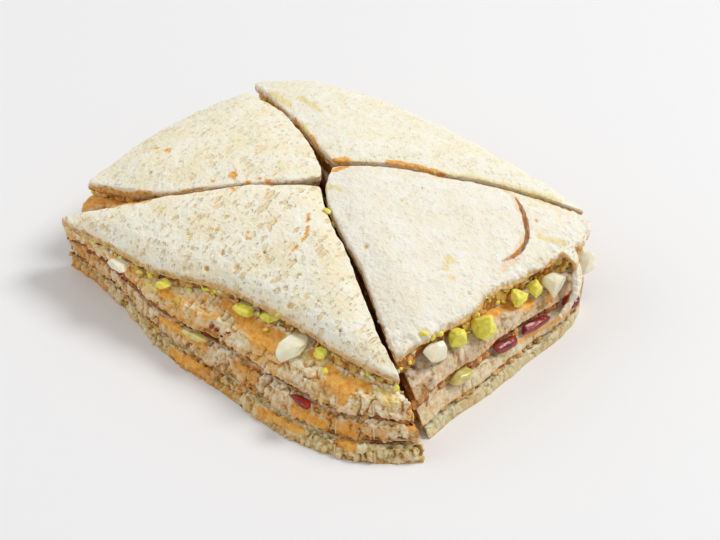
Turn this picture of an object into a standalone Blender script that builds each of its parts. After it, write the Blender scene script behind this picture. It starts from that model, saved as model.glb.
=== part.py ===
# A triple-decker sandwich without crusts, cut along both diagonals into four wedges that lie together.
# Each wedge has four slices of bread and three fillings: egg, red pepper and tuna, from the top down.
# The long side runs along X, the short side along Y, and the sandwich stands on Z = 0.

import bmesh
import bpy
import math
from mathutils import Vector, noise

# Every length below is in millimetres and becomes metres where a point is placed.
MM = 0.001

# Where the middle of the bounding box lies among the places given below. It becomes the origin.
CENTRE = (-4.424, 4.072)

# The dome. Slices and fillings are thickest in the middle and are pressed thin towards the outline.
MIDDLE = (-5.0, 4.0)
DOME_REACH_X = 107.0
DOME_REACH_FRONT = 71.0
DOME_REACH_BACK = 103.0
DOME_POWER = 4.0
SLICE_MIDDLE = 8.2
SLICE_LOSS = 2.0
FILLING_MIDDLE = 6.1
FILLING_LOSS = 4.4
FILLING_LEAST = 1.1
SEAT_GAP = 0.45
SOFT_EDGE = 2.4

# The layers from the top down: how far each one's upper and lower outline has gone from the wedge's
# top outline (0) to its bottom outline (1). Fillings stop short of the slice that they lie on.
LAYERS = (
    ("bread_1", 0.00, 0.00),
    ("egg", 0.00, 0.06),
    ("bread_2", 0.44, 0.60),
    ("pepper", 0.46, 0.56),
    ("bread_3", 0.70, 0.82),
    ("tuna", 0.70, 0.78),
    ("bread_4", 0.90, 1.00),
)
BREADS = ("bread_1", "bread_2", "bread_3", "bread_4")

# The wedges. Each has a tip at the middle and two ends on the outline, given where the top slice lies
# and where the bottom slice lies. A bulge is a few stops (place along the edge, distance outwards).
# The outer edge runs from the first end to the second, and each cut edge runs from its end to the tip.
# Swell is what a layer gains at the outline, where the knife has pressed or the pieces have spread it.
WEDGES = {
    "front": {
        "tip": ((-5.2, -0.2), (-2.0, -4.0)),
        "first": ((-90.0, -59.5), (-91.0, -55.0)),
        "second": ((76.0, -52.5), (91.0, -55.0)),
        "outer": (
            ((0, 0), (0.12, 2.5), (0.32, 4.5), (0.5, -0.5), (0.7, -0.5), (0.86, 2.5), (1, 0)),
            ((0, 0), (0.13, 3.0), (0.2, 7.0), (0.31, 13.7), (0.42, 18.2), (0.5, 19.0), (0.59, 18.4),
             (0.64, 22.3), (0.7, 22.6), (0.82, 21.0), (0.92, 13.5), (0.96, 7.5), (1, 0)),
        ),
        "first_cut": (((0, 0), (0.3, -1.1), (0.5, -0.4), (0.7, 1.5), (0.9, 1.8), (1, 0)),
                      ((0, 0), (0.5, 1.0), (1, 0))),
        "second_cut": (((0, 0), (0.22, -2.1), (0.6, -1.5), (0.8, -2.0), (1, 0)),
                       ((0, 0), (0.2, -3.5), (0.6, -2.5), (1, 0))),
        "steps": 13,
        "swell": {},
    },
    "right": {
        "tip": ((-10.5, 14.3), (3.0, 4.0)),
        "first": ((69.7, -47.5), (84.5, -45.0)),
        "second": ((78.3, 68.0), (83.0, 58.0)),
        "outer": (
            ((0, 0), (0.18, 2.5), (0.32, 4.5), (0.43, 1.5), (0.52, 3.5), (0.72, 5.5), (0.93, 6.0), (1, 0)),
            ((0, 0), (0.12, 0), (0.35, 3.5), (0.55, 4.5), (0.82, 6.5), (0.93, 4.5), (1, 0)),
        ),
        "first_cut": (((0, 0), (0.2, 1.7), (0.42, 2.6), (0.6, 5.2), (0.75, 7.1), (0.86, 6.1), (1, 0)),
                      ((0, 0), (0.5, 0.0), (1, 0))),
        "second_cut": (((0, 0), (0.12, 2.7), (0.4, 4.4), (0.58, 3.3), (0.73, 5.4), (0.93, 3.2), (1, 0)),
                       ((0, 0), (0.5, 1.0), (1, 0))),
        "steps": 12,
        "swell": {"egg": 6.6, "bread_2": -1.6, "pepper": 2.4, "bread_3": -1.5, "tuna": -1.2, "bread_4": -3.6},
    },
    "back": {
        "tip": ((-12.7, 18.3), (-3.0, 13.0)),
        "first": ((73.5, 71.3), (76.5, 67.5)),
        "second": ((-89.6, 57.4), (-88.0, 62.0)),
        "outer": (
            ((0, 0), (0.2, 5.0), (0.4, 13.0), (0.65, 17.5), (0.88, 13.0), (1, 0)),
            ((0, 0), (0.2, 14.0), (0.4, 20.0), (0.65, 20.0), (0.88, 12.0), (1, 0)),
        ),
        "first_cut": (((0, 0), (0.1, -0.5), (0.4, -2.5), (0.57, -1.3), (0.73, -3.4), (0.94, -1.0), (1, 0)),
                      ((0, 0), (0.5, -3.0), (1, 0))),
        "second_cut": (((0, 0), (0.5, 0.5), (0.9, 1.0), (1, 0)), ((0, 0), (0.5, 1.0), (1, 0))),
        "steps": 10,
        "swell": {},
    },
    "left": {
        "tip": ((-9.0, 6.3), (-8.0, 5.0)),
        "first": ((-84.5, 48.5), (-91.0, 56.0)),
        "second": ((-94.2, -40.0), (-93.0, -52.0)),
        "outer": (
            ((0, 0), (0.1, 4.0), (0.5, 6.0), (1, 0)),
            ((0, 0), (0.5, 9.0), (1, 0)),
        ),
        "first_cut": (((0, 0), (0.4, 5.1), (0.6, 5.0), (0.84, 3.6), (1, 0)), ((0, 0), (0.5, 2.5), (1, 0))),
        "second_cut": (((0, 0), (0.12, 5.7), (0.34, 13.3), (0.53, 10.6), (0.73, 6.9), (0.93, 4.4), (1, 0)),
                       ((0, 0), (0.5, 2.0), (1, 0))),
        "steps": 8,
        "swell": {},
    },
}

# A point of a layer is at its edge, or at its top, within this share of the whole.
AT_AN_EDGE = 0.01

# How far the egg filling stops short of the top slice's edge, which leaves a dark gap under the slice.
EGG_INSET = 1.6

# Ragged edges: how far the cut edge of a slice wanders, over what length, and how far apart the layers
# lie in the wander, so that no two are alike.
RAG = 1.0
RAG_LENGTH = 13.0
RAG_STEP = 40.0

# The tear in the top slice of the right wedge, as stops seen from above, and its width and depth.
TEAR_STOPS = ((50.0, 52.5), (57.5, 47.5), (64.5, 41.5), (69.5, 35.5), (72.0, 29.5), (72.5, 22.5), (71.0, 16.0))
TEAR_WIDTH = 1.8
TEAR_DEPTH = 4.5
TEAR_END = 0.35
TEAR_STEPS = 10

# Torn strips of bread that hang down from a slice: the stops of each strip's middle, the direction
# across it, its widths at the slice and at its end, and its thickness.
TORN_STRIPS = {
    "right_bread_1": {
        "stops": ((77.0, 46.0, 34.0), (85.0, 45.5, 32.6), (88.8, 43.5, 26.0), (90.2, 40.5, 20.5),
                  (90.6, 36.5, 16.0), (90.5, 31.0, 14.0)),
        "across": (-0.45, 1.0, 0.0),
        "widths": (8.5, 3.0),
        "thick": 2.4,
    },
    "right_bread_2": {
        "stops": ((73.0, -35.5, 20.0), (78.5, -37.5, 21.0), (82.0, -41.0, 19.8), (83.2, -45.5, 16.8)),
        "across": (0.2, 1.0, 0.35),
        "widths": (8.0, 2.6),
        "thick": 2.2,
    },
}
STRIP_STEPS = 8

# Loose pieces that show at the sides. Each lies in a filling of a wedge, at a place along the outer edge
# of the slice above it and so far out from that edge, with its length, depth and height.
PIECES = (
    ("egg_white_1", "front", "egg", 0.225, 3.0, 9.5, 6.0, 4.0),
    ("yolk_1", "front", "egg", 0.355, 1.6, 6.0, 5.0, 4.0),
    ("yolk_2", "front", "egg", 0.575, 1.5, 9.0, 7.0, 6.5),
    ("yolk_3", "front", "egg", 0.635, 0.0, 8.0, 5.0, 4.0),
    ("egg_white_2", "front", "egg", 0.735, 6.0, 9.5, 14.0, 4.5),
    ("yolk_4", "front", "egg", 0.80, 1.5, 6.0, 6.0, 4.5),
    ("egg_white_3", "right", "egg", 0.15, 1.5, 12.5, 6.0, 7.0),
    ("yolk_5", "right", "egg", 0.25, 2.0, 8.0, 7.5, 8.5),
    ("yolk_6", "right", "egg", 0.338, 4.0, 10.5, 10.0, 12.0),
    ("yolk_7", "right", "egg", 0.555, 2.5, 8.0, 6.0, 7.0),
    ("yolk_8", "right", "egg", 0.625, 2.0, 6.0, 6.0, 8.0),
    ("egg_white_4", "right", "egg", 0.70, 4.0, 9.0, 8.0, 10.5),
    ("egg_white_5", "right", "egg", 0.875, 3.5, 10.0, 7.0, 12.0),
    ("pale_pepper_1", "front", "pepper", 0.46, 2.2, 12.0, 4.4, 3.4),
    ("red_pepper_1", "front", "pepper", 0.77, 3.0, 10.0, 5.4, 5.0),
    ("pale_pepper_2", "right", "pepper", 0.215, 1.0, 11.0, 5.0, 5.0),
    ("red_pepper_2", "right", "pepper", 0.45, 1.0, 13.0, 5.0, 4.0),
    ("red_pepper_3", "right", "pepper", 0.62, 1.0, 16.0, 5.0, 4.0),
    ("red_pepper_4", "right", "pepper", 0.815, 1.5, 9.0, 5.0, 4.0),
)
# How square each kind of piece is (1 is round) and how crumbly, and the flats that the knife has left:
# how many, and how far out the middle of a flat lies.
SQUARENESS = {"egg_white": 0.5, "yolk": 0.75, "red_pepper": 0.6, "pale_pepper": 0.6}
CRUMBLE = {"egg_white": 0.04, "yolk": 0.16, "red_pepper": 0.05, "pale_pepper": 0.05}
FLATS = {"egg_white": 6, "yolk": 9, "red_pepper": 6, "pale_pepper": 6}
FLAT_LEAST = 0.66
FLAT_SPREAD = 0.22
LUMPS_A_PIECE = 2.0
LUMP_STEP = 7.3
# A slice of egg white that ends in two points, and how much of its width the points have lost.
POINTED = ("egg_white_2",)
POINTED_LOSS = 0.55
PIECE_GAP = 0.4
ROOF_MARGIN = 1.0
POCKET_GROWTH = 1.0

COLOURS = {
    "bread_1": (0.87, 0.82, 0.68),
    "bread_2": (0.72, 0.58, 0.38),
    "bread_3": (0.74, 0.60, 0.40),
    "bread_4": (0.62, 0.58, 0.45),
    "egg": (0.87, 0.36, 0.07),
    "pepper": (0.80, 0.30, 0.06),
    "tuna": (0.62, 0.42, 0.20),
    "egg_white": (0.82, 0.80, 0.66),
    "yolk": (0.70, 0.68, 0.10),
    "red_pepper": (0.25, 0.01, 0.01),
    "pale_pepper": (0.62, 0.56, 0.22),
}
ROUGHNESS = {"red_pepper": 0.25, "egg_white": 0.35, "pale_pepper": 0.35}
MATT = 0.85


def clear_scene():
    for thing in list(bpy.data.objects):
        bpy.data.objects.remove(thing, do_unlink=True)


def placed(x, y, z):
    """A place in millimetres as a point of the scene, measured from the middle of the bounding box."""
    return Vector((x - CENTRE[0], y - CENTRE[1], z)) * MM


def new_collection(name):
    collection = bpy.data.collections.new(name)
    bpy.context.scene.collection.children.link(collection)
    return collection


def material_of(kind):
    name = kind + "_finish"
    if name in bpy.data.materials:
        return bpy.data.materials[name]
    material = bpy.data.materials.new(name)
    material.use_nodes = True
    shader = material.node_tree.nodes["Principled BSDF"]
    shader.inputs["Base Color"].default_value = (*COLOURS[kind], 1)
    shader.inputs["Roughness"].default_value = ROUGHNESS.get(kind, MATT)
    shader.inputs["Metallic"].default_value = 0
    return material


def object_of(bm, name, kind, collection):
    bmesh.ops.recalc_face_normals(bm, faces=bm.faces)
    if bm.calc_volume(signed=True) < 0:
        bmesh.ops.reverse_faces(bm, faces=bm.faces)
    mesh = bpy.data.meshes.new(name)
    bm.to_mesh(mesh)
    bm.free()
    mesh.materials.append(material_of(kind))
    mesh.shade_smooth()
    thing = bpy.data.objects.new(name, mesh)
    collection.objects.link(thing)
    return thing


# Heights

def pressed(x, y):
    """How far out a place lies on the dome: 0 in the middle, 1 at a corner, squared."""
    reach = DOME_REACH_BACK if y > MIDDLE[1] else DOME_REACH_FRONT
    across = abs(x - MIDDLE[0]) / DOME_REACH_X
    along = abs(y - MIDDLE[1]) / reach
    return (across ** DOME_POWER + along ** DOME_POWER) ** (2 / DOME_POWER)


def thickness(kind, x, y, swell):
    out = pressed(x, y)
    gain = swell.get(kind, 0.0) * min(1.0, out)
    if kind in BREADS:
        return SLICE_MIDDLE - SLICE_LOSS * out + gain
    return max(FILLING_LEAST, FILLING_MIDDLE - FILLING_LOSS * out + gain)


def height(level, x, y, swell):
    """The height of a boundary between layers: level 0 is the top of the stack and 7 its underside."""
    return sum(thickness(kind, x, y, swell) for kind, _, _ in LAYERS[level:])


# Outlines

def curve_at(stops, place):
    """A smooth curve through a few stops."""
    for (left, low), (right, high) in zip(stops, stops[1:]):
        if place <= right:
            share = (place - left) / (right - left)
            share = share * share * (3 - 2 * share)
            return low + (high - low) * share
    return stops[-1][1]


def blend(pair, out):
    return Vector(pair[0]).lerp(Vector(pair[1]), out)


def edge_bulge(start, end, stops, near_start, near_end, out):
    """How far an edge from start to end, with the wedge on its left, pushes a place outwards."""
    reach = near_start + near_end
    if reach < 1e-6:
        return Vector((0, 0))
    top, low = (curve_at(level, near_end / reach) for level in stops)
    along = (end - start).normalized()
    return Vector((along.y, -along.x)) * (top + (low - top) * out) * reach ** 2


def plan_point(wedge, shares, out):
    """A place of a wedge from its shares of tip, first end and second end, and how far down it is."""
    tip = blend(wedge["tip"], out)
    first = blend(wedge["first"], out)
    second = blend(wedge["second"], out)
    at_tip, at_first, at_second = shares
    point = tip * at_tip + first * at_first + second * at_second
    point += edge_bulge(first, second, wedge["outer"], at_first, at_second, out)
    point -= edge_bulge(first, tip, wedge["first_cut"], at_first, at_tip, out)
    point += edge_bulge(second, tip, wedge["second_cut"], at_second, at_tip, out)
    return point


def unit_wedge(steps, bands):
    """A prism on a triangle, its caps a grid of triangles and its sides in bands."""
    bm = bmesh.new()
    bmesh.ops.create_cone(bm, cap_ends=True, segments=3, radius1=1, radius2=1, depth=1)
    level_edges = [e for e in bm.edges if abs(e.verts[0].co.z - e.verts[1].co.z) < 0.5]
    bmesh.ops.subdivide_edges(bm, edges=level_edges, cuts=steps - 1, use_grid_fill=True)
    for band in range(1, bands):
        cut = bm.verts[:] + bm.edges[:] + bm.faces[:]
        bmesh.ops.bisect_plane(bm, geom=cut, plane_co=(0, 0, band / bands - 0.5), plane_no=(0, 0, 1))
    bmesh.ops.triangulate(bm, faces=bm.faces)
    return bm


def shares_of(place):
    """A place's shares of the corners of the triangle, which stand on the unit circle."""
    corners = [Vector((math.sin(a), math.cos(a))) for a in (0, 2 * math.pi / 3, 4 * math.pi / 3)]
    return [min(1.0, max(0.0, (1 + 2 * place.dot(corner)) / 3)) for corner in corners]


def rag_at(point, kind):
    """A slow wander of a cut edge, another one for each layer."""
    seat = Vector((point.x, point.y, RAG_STEP * [name for name, _, _ in LAYERS].index(kind)))
    return noise.noise(seat / RAG_LENGTH) * RAG


def layer(wedge_name, number, collection):
    """One slice or filling of one wedge."""
    kind, upper_out, lower_out = LAYERS[number]
    wedge = WEDGES[wedge_name]
    bands = 3 if number == 0 else 2
    bm = unit_wedge(wedge["steps"], bands)
    for vertex in bm.verts:
        shares = shares_of(vertex.co.xy)
        rise = vertex.co.z + 0.5
        point = plan_point(wedge, shares, lower_out + (upper_out - lower_out) * rise)
        edge_share = min(shares)
        if edge_share < AT_AN_EDGE:
            inwards = (plan_point(wedge, (1 / 3, 1 / 3, 1 / 3), lower_out) - point).normalized()
            inset = EGG_INSET if kind == "egg" else 0.0
            point += inwards * (inset + rag_at(point, kind))
        low = height(number + 1, *point, wedge["swell"])
        top = height(number, *point, wedge["swell"])
        bottom_gap = 0.0 if number == len(LAYERS) - 1 else SEAT_GAP / 2
        top_gap = 0.0 if number == 0 else SEAT_GAP / 2
        low += bottom_gap
        top -= top_gap
        z = low + (top - low) * rise
        if number == 0 and edge_share < AT_AN_EDGE and rise > 1 - AT_AN_EDGE:
            z -= SOFT_EDGE
        vertex.co = placed(point.x, point.y, z)
    return object_of(bm, f"{wedge_name}_{kind}", kind, collection)


# Loose pieces

def kind_of(piece_name):
    return piece_name.rstrip("0123456789").rstrip("_")


def chunk(name, seed):
    """A chopped block one unit wide each way, with soft corners and flats."""
    kind = kind_of(name)
    noise.seed_set(seed + 1)
    facings = [noise.random_unit_vector() for _ in range(FLATS[kind])]
    bm = bmesh.new()
    bmesh.ops.create_icosphere(bm, subdivisions=2, radius=1)
    for vertex in bm.verts:
        shape = Vector([math.copysign(abs(c) ** SQUARENESS[kind], c) for c in vertex.co])
        for number, facing in enumerate(facings):
            middle = FLAT_LEAST + FLAT_SPREAD * number / len(facings)
            shape -= facing * max(0.0, shape.dot(facing) - middle)
        lump = noise.noise(vertex.co * LUMPS_A_PIECE + Vector((seed * LUMP_STEP, 0, 0)))
        vertex.co = shape * (1 + CRUMBLE[kind] * lump) / 2
        if name in POINTED:
            vertex.co.x *= 1 - POINTED_LOSS * (2 * vertex.co.y) ** 2
    return bm


def edge_frame(wedge, place, out):
    """A point on a wedge's outer edge with the directions along the edge and outwards."""
    step = 0.01
    here = plan_point(wedge, (0, 1 - place, place), out)
    ahead = plan_point(wedge, (0, 1 - place - step, place + step), out)
    behind = plan_point(wedge, (0, 1 - place + step, place - step), out)
    along = (ahead - behind).normalized()
    return here, along, Vector((along.y, -along.x))


def set_piece(bm, details, growth, through):
    """Moves a unit block to its place between two slices, lying on the lower one."""
    _, wedge_name, filling, place, out, length, depth, tall = details
    wedge = WEDGES[wedge_name]
    number = [name for name, _, _ in LAYERS].index(filling)
    here, along, outwards = edge_frame(wedge, place, LAYERS[number - 1][2])
    for vertex in bm.verts:
        reach = out + vertex.co.y * (depth + growth)
        point = here + along * vertex.co.x * (length + growth) + outwards * reach
        floor = height(number + 1, *point, wedge["swell"])
        roof = height(number, *point, wedge["swell"])
        if through:
            z = floor - growth if vertex.co.z < 0 else roof + growth
        else:
            room = roof - floor - 2 * PIECE_GAP + max(0.0, reach - ROOF_MARGIN)
            z = floor + PIECE_GAP + (vertex.co.z + 0.5) * min(tall, room)
        vertex.co = placed(point.x, point.y, z)


def helper(thing):
    thing.hide_render = True
    thing.display_type = "WIRE"


def cut_or_join(target, other, operation, solver="EXACT"):
    modifier = target.modifiers.new(operation.lower(), "BOOLEAN")
    modifier.operation = operation
    modifier.solver = solver
    modifier.object = other
    helper(other)


def piece(details, number, sandwich, helpers):
    """A loose piece and the pocket for it in its filling."""
    name, wedge_name, filling = details[:3]
    kind = kind_of(name)
    bm = chunk(name, number)
    set_piece(bm, details, 0.0, False)
    object_of(bm, name, kind, sandwich)
    bm = bmesh.new()
    bmesh.ops.create_cube(bm, size=1)
    set_piece(bm, details, POCKET_GROWTH, True)
    pocket = object_of(bm, name + "_pocket", kind, helpers)
    cut_or_join(bpy.data.objects[f"{wedge_name}_{filling}"], pocket, "DIFFERENCE")


# Tears

def along_stops(stops, share):
    """A place on a smooth line through a few stops, and the line's direction there."""
    points = [Vector(stop) for stop in stops]
    points = [points[0] * 2 - points[1]] + points + [points[-1] * 2 - points[-2]]
    reach = share * (len(stops) - 1)
    first = min(int(reach), len(stops) - 2)
    t = reach - first
    a, b, c, d = points[first:first + 4]
    place = 0.5 * (2 * b + (c - a) * t + (2 * a - 5 * b + 4 * c - d) * t ** 2 + (3 * b - a - 3 * c + d) * t ** 3)
    slope = 0.5 * ((c - a) + 2 * (2 * a - 5 * b + 4 * c - d) * t + 3 * (3 * b - a - 3 * c + d) * t ** 2)
    return place, slope.normalized()


def long_block(steps):
    """A bar along X from 0 to 1, one unit wide and high, in steps."""
    bm = bmesh.new()
    bmesh.ops.create_cube(bm, size=1)
    bmesh.ops.translate(bm, verts=bm.verts, vec=(0.5, 0, 0))
    for step in range(1, steps):
        cut = bm.verts[:] + bm.edges[:] + bm.faces[:]
        bmesh.ops.bisect_plane(bm, geom=cut, plane_co=(step / steps, 0, 0), plane_no=(1, 0, 0))
    bmesh.ops.triangulate(bm, faces=bm.faces)
    return bm


def tear(helpers):
    """The curved tear that opens the top slice of the right wedge."""
    swell = WEDGES["right"]["swell"]
    bm = long_block(TEAR_STEPS)
    for vertex in bm.verts:
        place, slope = along_stops(TEAR_STOPS, vertex.co.x)
        taper = TEAR_END + (1 - TEAR_END) * math.sin(math.pi * vertex.co.x)
        point = place + Vector((slope.y, -slope.x)) * vertex.co.y * TEAR_WIDTH * taper
        top = height(0, *point, swell)
        z = top - TEAR_DEPTH * taper if vertex.co.z < 0 else top + TEAR_DEPTH
        vertex.co = placed(point.x, point.y, z)
    cut_or_join(bpy.data.objects["right_bread_1"], object_of(bm, "tear", "bread_1", helpers), "DIFFERENCE")


def torn_strip(slice_name, helpers):
    """A strip of a slice that has torn loose at one end and hangs down the side."""
    strip_plan = TORN_STRIPS[slice_name]
    wide, narrow = strip_plan["widths"]
    across = Vector(strip_plan["across"]).normalized()
    bm = long_block(STRIP_STEPS)
    for vertex in bm.verts:
        place, slope = along_stops(strip_plan["stops"], vertex.co.x)
        outwards = slope.cross(across).normalized()
        width = wide + (narrow - wide) * vertex.co.x
        point = place + across * vertex.co.y * width + outwards * vertex.co.z * strip_plan["thick"]
        vertex.co = placed(*point)
    kind = slice_name.split("_", 1)[1]
    strip = object_of(bm, slice_name + "_strip", kind, helpers)
    cut_or_join(bpy.data.objects[slice_name], strip, "UNION", "MANIFOLD")


def build():
    clear_scene()
    sandwich = new_collection("triple_decker_sandwich")
    helpers = new_collection("cutters")
    for wedge_name in WEDGES:
        for number in range(len(LAYERS)):
            layer(wedge_name, number, sandwich)
    for number, details in enumerate(PIECES):
        piece(details, number, sandwich, helpers)
    tear(helpers)
    for slice_name in TORN_STRIPS:
        torn_strip(slice_name, helpers)


build()
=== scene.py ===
# The looks of a crustless triple-decker sandwich, cut into four wedges.
# Each slice and filling is a finer copy of its solid, roughened into crumb, sauce, egg and fish.

import itertools
import math
import random

import bmesh
import bpy
import numpy as np
from mathutils import Matrix, Vector
from mathutils.bvhtree import BVHTree
from mathutils.kdtree import KDTree


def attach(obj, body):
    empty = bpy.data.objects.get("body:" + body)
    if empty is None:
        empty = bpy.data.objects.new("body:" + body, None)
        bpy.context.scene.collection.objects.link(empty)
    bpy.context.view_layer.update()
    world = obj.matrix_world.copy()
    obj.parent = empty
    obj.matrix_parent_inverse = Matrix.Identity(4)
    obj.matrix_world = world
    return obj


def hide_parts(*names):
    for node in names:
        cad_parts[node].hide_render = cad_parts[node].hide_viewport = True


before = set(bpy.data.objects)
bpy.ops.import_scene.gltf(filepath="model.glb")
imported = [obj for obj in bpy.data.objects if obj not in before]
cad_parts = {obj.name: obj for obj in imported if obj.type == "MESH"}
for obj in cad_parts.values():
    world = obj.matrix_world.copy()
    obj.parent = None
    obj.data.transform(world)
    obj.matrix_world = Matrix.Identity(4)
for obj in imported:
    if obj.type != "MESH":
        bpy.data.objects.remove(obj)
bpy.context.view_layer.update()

# Lengths in the tables below are millimetres.
MM = 0.001

# The camera, found from the rim of the plate and the edges of the sandwich in the photograph.
CAMERA_PLACE = Vector((0.360324, -0.447172, 0.45810))
CAMERA_RIGHT = Vector((0.7832, 0.6214, 0.0206))
CAMERA_UP = Vector((-0.3974, 0.4749, 0.7852))
CAMERA_BACK = Vector((0.4781, -0.6231, 0.6190))
LENS = 90.0
SENSOR = 36.0
PICTURE_WIDE = 720
PICTURE_HIGH = 540

WEDGES = ("front", "right", "back", "left")
BREADS = ("bread_1", "bread_2", "bread_3", "bread_4")
FILLINGS = ("egg", "pepper", "tuna")
SLOTS = {
    "bread_1": "bread_top",
    "bread_2": "bread_inner",
    "bread_3": "bread_inner",
    "bread_4": "bread_bottom",
    "egg": "egg_filling",
    "pepper": "pepper_filling",
    "tuna": "tuna_filling",
    "egg_white": "egg_white",
    "yolk": "egg_yolk",
    "red_pepper": "red_pepper",
    "pale_pepper": "pale_pepper",
    "tuna_shreds": "tuna_filling",
    "strands": "bread_inner",
}

# Mesh sizes: the longest edge on an open side, on an open top, in a seam, and where it is hidden.
SIDE_EDGE = {"front": 0.6, "right": 0.62, "back": 0.85, "left": 0.8}
TOP_EDGE = 1.05
SEAM_EDGE = 1.5
HIDDEN_EDGE = 6.0
MOST_SPLITS = 4
OPEN_ENOUGH = 0.22
SEAM_ENOUGH = 0.03


# Noise that is the same at every run

def scramble(cells, salt):
    """A number from 0 to 1 for each cell of a grid."""
    mix = cells[:, 0] * 374761393 + cells[:, 1] * 668265263 + cells[:, 2] * 1274126177 + salt * 974634777
    mix = mix & 0xFFFFFFFF
    mix = ((mix ^ (mix >> 13)) * 1103515245) & 0xFFFFFFFF
    mix = ((mix ^ (mix >> 16)) * 69069) & 0xFFFFFFFF
    mix = mix ^ (mix >> 15)
    return (mix & 0xFFFFFF) / 0x1000000


def drift(places, size, salt):
    """Soft noise from -1 to 1 that changes over a distance of size."""
    grid = places / size
    base = np.floor(grid).astype(np.int64)
    part = grid - base
    part = part * part * (3 - 2 * part)
    total = np.zeros(len(places))
    for corner in itertools.product((0, 1), repeat=3):
        weight = np.ones(len(places))
        for axis, side in enumerate(corner):
            weight *= part[:, axis] if side else 1 - part[:, axis]
        total += weight * scramble(base + np.array(corner), salt)
    return total * 2 - 1


def bubbles(places, spacing, smallest, largest, share, salt):
    """How deep a place lies in a ball of a loose pack of balls: 0 outside and 1 at a middle."""
    grid = places / spacing
    base = np.floor(grid).astype(np.int64)
    deepest = np.zeros(len(places))
    for step in itertools.product((-1, 0, 1), repeat=3):
        cell = base + np.array(step)
        there = scramble(cell, salt) < share
        middle = cell + 0.5
        for axis in range(3):
            middle[:, axis] += 0.8 * (scramble(cell, salt + 1 + axis) - 0.5)
        radius = smallest + (largest - smallest) * scramble(cell, salt + 5)
        reach = np.linalg.norm(grid - middle, axis=1) * spacing / radius
        bowl = np.sqrt(np.clip(1 - reach * reach, 0, 1))
        deepest = np.maximum(deepest, np.where(there, bowl, 0))
    return deepest


def rise_between(values, low, high):
    share = np.clip((values - low) / (high - low), 0, 1)
    return share * share * (3 - 2 * share)


# Finer copies of the solids

def tree_of(names):
    points = []
    faces = []
    for name in names:
        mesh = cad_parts[name].data
        start = len(points)
        points += [vertex.co.copy() for vertex in mesh.vertices]
        faces += [[start + corner for corner in face.vertices] for face in mesh.polygons]
    return BVHTree.FromPolygons(points, faces)


everything = tree_of(sorted(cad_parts))


def spread_directions(count):
    """Directions over the half of a ball above a surface, along Z."""
    golden = math.pi * (3 - math.sqrt(5))
    found = []
    for step in range(count):
        height = math.sqrt((step + 0.5) / count)
        flat = math.sqrt(1 - height * height)
        found.append(Vector((flat * math.cos(step * golden), flat * math.sin(step * golden), height)))
    return found


LOOKS = spread_directions(10)
LOOK_START = 0.35 * MM
LOOK_REACH = 22 * MM


def openness(place, normal):
    """The share of directions in which a place of the surface sees out."""
    turn = normal.to_track_quat("Z", "Y")
    start = place + normal * LOOK_START
    free = 0
    for look in LOOKS:
        if everything.ray_cast(start, turn @ look, LOOK_REACH)[0] is None:
            free += 1
    return free / len(LOOKS)


SHARP = math.radians(38)
CREASE = 0.72


def rim_points(bm, upwards):
    """Points along the edges where a slice's flat side meets its rim."""
    found = []
    for edge in bm.edges:
        if len(edge.link_faces) != 2 or edge.calc_face_angle(0) < SHARP:
            continue
        lean = max(face.normal.z * upwards for face in edge.link_faces)
        if lean < 0.6:
            continue
        first, second = (vertex.co for vertex in edge.verts)
        steps = max(1, int((second - first).length / (0.8 * MM)))
        found += [first.lerp(second, step / steps) for step in range(steps + 1)]
    tree = KDTree(len(found))
    for number, place in enumerate(found):
        tree.insert(place, number)
    tree.balance()
    return tree


def solid_copy(name):
    """The node's solid as a bmesh, its loose triangles merged."""
    bm = bmesh.new()
    bm.from_mesh(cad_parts[name].data)
    bmesh.ops.remove_doubles(bm, verts=bm.verts, dist=0.005 * MM)
    bmesh.ops.dissolve_degenerate(bm, edges=bm.edges, dist=0.01 * MM)
    bm.normal_update()
    return bm


def rounded(bm, crease, levels):
    """The smooth form of a faceted solid, its sharp edges held by a crease."""
    layer = bm.edges.layers.float.get("crease_edge") or bm.edges.layers.float.new("crease_edge")
    for edge in bm.edges:
        if edge.is_manifold and edge.calc_face_angle(0) > SHARP:
            edge[layer] = crease
    mesh = bpy.data.meshes.new("rounding")
    bm.to_mesh(mesh)
    bm.free()
    thing = bpy.data.objects.new("rounding", mesh)
    bpy.context.scene.collection.objects.link(thing)
    modifier = thing.modifiers.new("rounding", "SUBSURF")
    modifier.levels = levels
    modifier.render_levels = levels
    graph = bpy.context.evaluated_depsgraph_get()
    smooth = bpy.data.meshes.new_from_object(thing.evaluated_get(graph))
    bpy.data.objects.remove(thing)
    bpy.data.meshes.remove(mesh)
    bm = bmesh.new()
    bm.from_mesh(smooth)
    bpy.data.meshes.remove(smooth)
    bmesh.ops.triangulate(bm, faces=bm.faces)
    bm.normal_update()
    return bm


def refined(bm, side_edge, top_edge):
    """Splits edges until those that show are as short as the detail needs."""
    seen = bm.verts.layers.float["open"]
    flat = bm.verts.layers.float["flat"]
    waiting = bm.edges[:]
    for _ in range(MOST_SPLITS):
        long_edges = []
        for edge in waiting:
            one, other = edge.verts
            view = max(one[seen], other[seen])
            if view > OPEN_ENOUGH:
                target = top_edge if min(one[flat], other[flat]) > 0.5 else side_edge
            else:
                target = SEAM_EDGE if view > SEAM_ENOUGH else HIDDEN_EDGE
            if (one.co - other.co).length_squared > (target * MM) ** 2:
                long_edges.append(edge)
        if not long_edges:
            break
        split = bmesh.ops.subdivide_edges(bm, edges=long_edges, cuts=1, use_grid_fill=True)
        parts = split["geom"] + split["geom_inner"]
        new_edges = dict.fromkeys(part for part in parts if isinstance(part, bmesh.types.BMEdge))
        wide = dict.fromkeys(face for edge in new_edges for face in edge.link_faces if len(face.verts) > 3)
        cut = bmesh.ops.triangulate(bm, faces=list(wide))
        waiting = list(dict.fromkeys(list(new_edges) + cut["edges"]))
    return bm


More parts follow.
